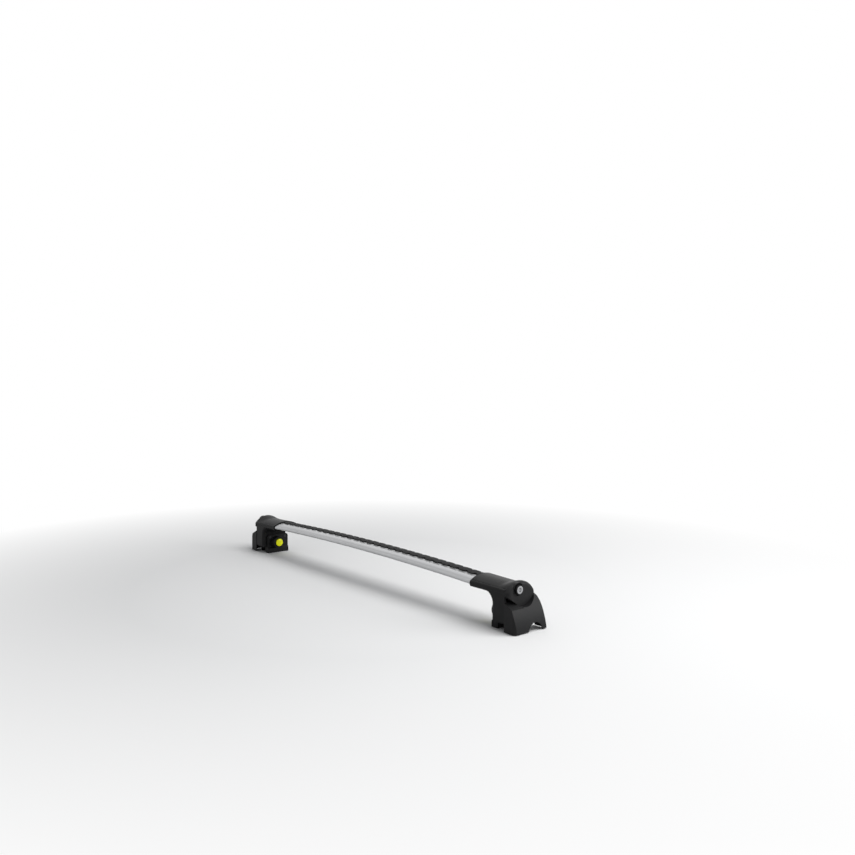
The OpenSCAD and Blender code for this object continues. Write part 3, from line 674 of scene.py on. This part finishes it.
class RACK_OT_stage(RackOperator, bpy.types.Operator):
    """Set the floor, the soft lamps, the sky and the camera"""

    bl_idname = "rack.set_stage"
    bl_label = "Stage"

    def execute(self, context):
        stage = context.scene.rack_stage
        self.lay_floor(stage)
        self.hang_lamp("key_lamp", (1.3, 0.5, 2.4), (0.1, 0, 0.05), 2.2, stage.key_power)
        self.hang_lamp("fill_lamp", (2.5, 1.9, 0.9), (0.3, 0, 0.08), 1.7, stage.fill_power)
        self.hang_lamp("rim_lamp", (-1.8, 1.8, 1.6), (0, 0, 0.08), 2.8, stage.rim_power)
        self.paint_sky(stage)
        self.place_camera(context, stage)
        context.scene.view_settings.view_transform = "Standard"
        return {"FINISHED"}

    def lay_floor(self, stage):
        """A wide pale floor that turns into the white ground far from the bar."""
        paint = Paint("floor_paper")
        far = paint.ramp(paint.reach(paint.place()), 0.66, 1.6)
        rays = paint.ray("Camera").larger(paint.ray("Glossy"))
        paper = paint.node("ShaderNodeBsdfDiffuse", {}, {"Color": rgba(stage.floor_colour)})
        white = paint.node("ShaderNodeEmission", {}, {"Color": (1, 1, 1, 1), "Strength": 1.0})
        ground = paint.node("ShaderNodeMixShader", {}, {0: far * rays, 1: paper, 2: white})
        shape = bmesh.new()
        bmesh.ops.create_circle(shape, cap_ends=True, segments=96, radius=9.0)
        add_object("floor", shape, paint.cover(ground))

    def hang_lamp(self, name, place, target, size, power):
        """A round soft lamp that looks at a target."""
        lamp = bpy.data.lights.new(name, "AREA")
        lamp.shape = "DISK"
        lamp.size = size
        lamp.energy = power
        holder = bpy.data.objects.new(name, lamp)
        turn = (Vector(target) - Vector(place)).to_track_quat("-Z", "Y")
        holder.matrix_world = Matrix.Translation(place) @ turn.to_matrix().to_4x4()
        bpy.context.scene.collection.objects.link(holder)

    def paint_sky(self, stage):
        """Even light from all around; the camera, gloss and glass see it as white."""
        paint = Paint("studio_sky", sky=True)
        seen = paint.ray("Camera").larger(paint.ray("Glossy").larger(paint.ray("Transmission")))
        light = paint.node("ShaderNodeBackground", {},
                           {"Color": (0.97, 0.985, 1.0, 1), "Strength": stage.sky})
        white = paint.node("ShaderNodeBackground", {}, {"Color": (1, 1, 1, 1), "Strength": 1.0})
        mixed = paint.node("ShaderNodeMixShader", {}, {0: seen, 1: light, 2: white})
        bpy.context.scene.world = paint.cover(mixed)

    def place_camera(self, context, stage):
        """Camera at the fitted place, turned by yaw, pitch and roll."""
        camera = bpy.data.cameras.new("photo_camera")
        camera.sensor_width = 36.0
        camera.lens = stage.lens
        camera.clip_end = 100
        view = bpy.data.objects.new("photo_camera", camera)
        yaw, pitch = stage.yaw, stage.pitch
        ahead = Vector((-math.sin(yaw) * math.cos(pitch), math.cos(yaw) * math.cos(pitch),
                        -math.sin(pitch)))
        right = Vector((math.cos(yaw), math.sin(yaw), 0))
        level = Matrix((right, right.cross(ahead), -ahead)).transposed()
        turned = level @ Matrix.Rotation(stage.roll, 3, "Z")
        view.matrix_world = Matrix.Translation(stage.camera_place) @ turned.to_4x4()
        context.scene.collection.objects.link(view)
        context.scene.camera = view


class RACK_PT_panel(bpy.types.Panel):
    """Lists the steps that finish the crossbar."""

    bl_label = "Crossbar"
    bl_idname = "RACK_PT_panel"
    bl_space_type = "VIEW_3D"
    bl_region_type = "UI"
    bl_category = "Crossbar"

    def draw(self, context):
        column = self.layout.column(align=True)
        for step in STEPS:
            column.operator(step.bl_idname)
        for group in (context.scene.rack_finish, context.scene.rack_stage):
            box = self.layout.box()
            for name in group.bl_rna.properties.keys():
                if name not in {"rna_type", "name"}:
                    box.prop(group, name)


STEPS = (RACK_OT_bar, RACK_OT_housings, RACK_OT_end_caps, RACK_OT_lower_covers, RACK_OT_locks,
         RACK_OT_claws, RACK_OT_fasteners, RACK_OT_stage)
CLASSES = (RACK_PG_finish, RACK_PG_stage) + STEPS + (RACK_PT_panel,)


def register():
    for cls in CLASSES:
        bpy.utils.register_class(cls)
    bpy.types.Scene.rack_finish = PointerProperty(type=RACK_PG_finish)
    bpy.types.Scene.rack_stage = PointerProperty(type=RACK_PG_stage)


def unregister():
    del bpy.types.Scene.rack_stage
    del bpy.types.Scene.rack_finish
    for cls in reversed(CLASSES):
        bpy.utils.unregister_class(cls)


def main():
    register()
    bpy.ops.rack.finish_bar()
    bpy.ops.rack.finish_housings()
    bpy.ops.rack.finish_end_caps()
    bpy.ops.rack.finish_lower_covers()
    bpy.ops.rack.finish_locks()
    bpy.ops.rack.finish_claws()
    bpy.ops.rack.finish_fasteners()
    bpy.ops.rack.set_stage()


if __name__ == "__main__":
    main()
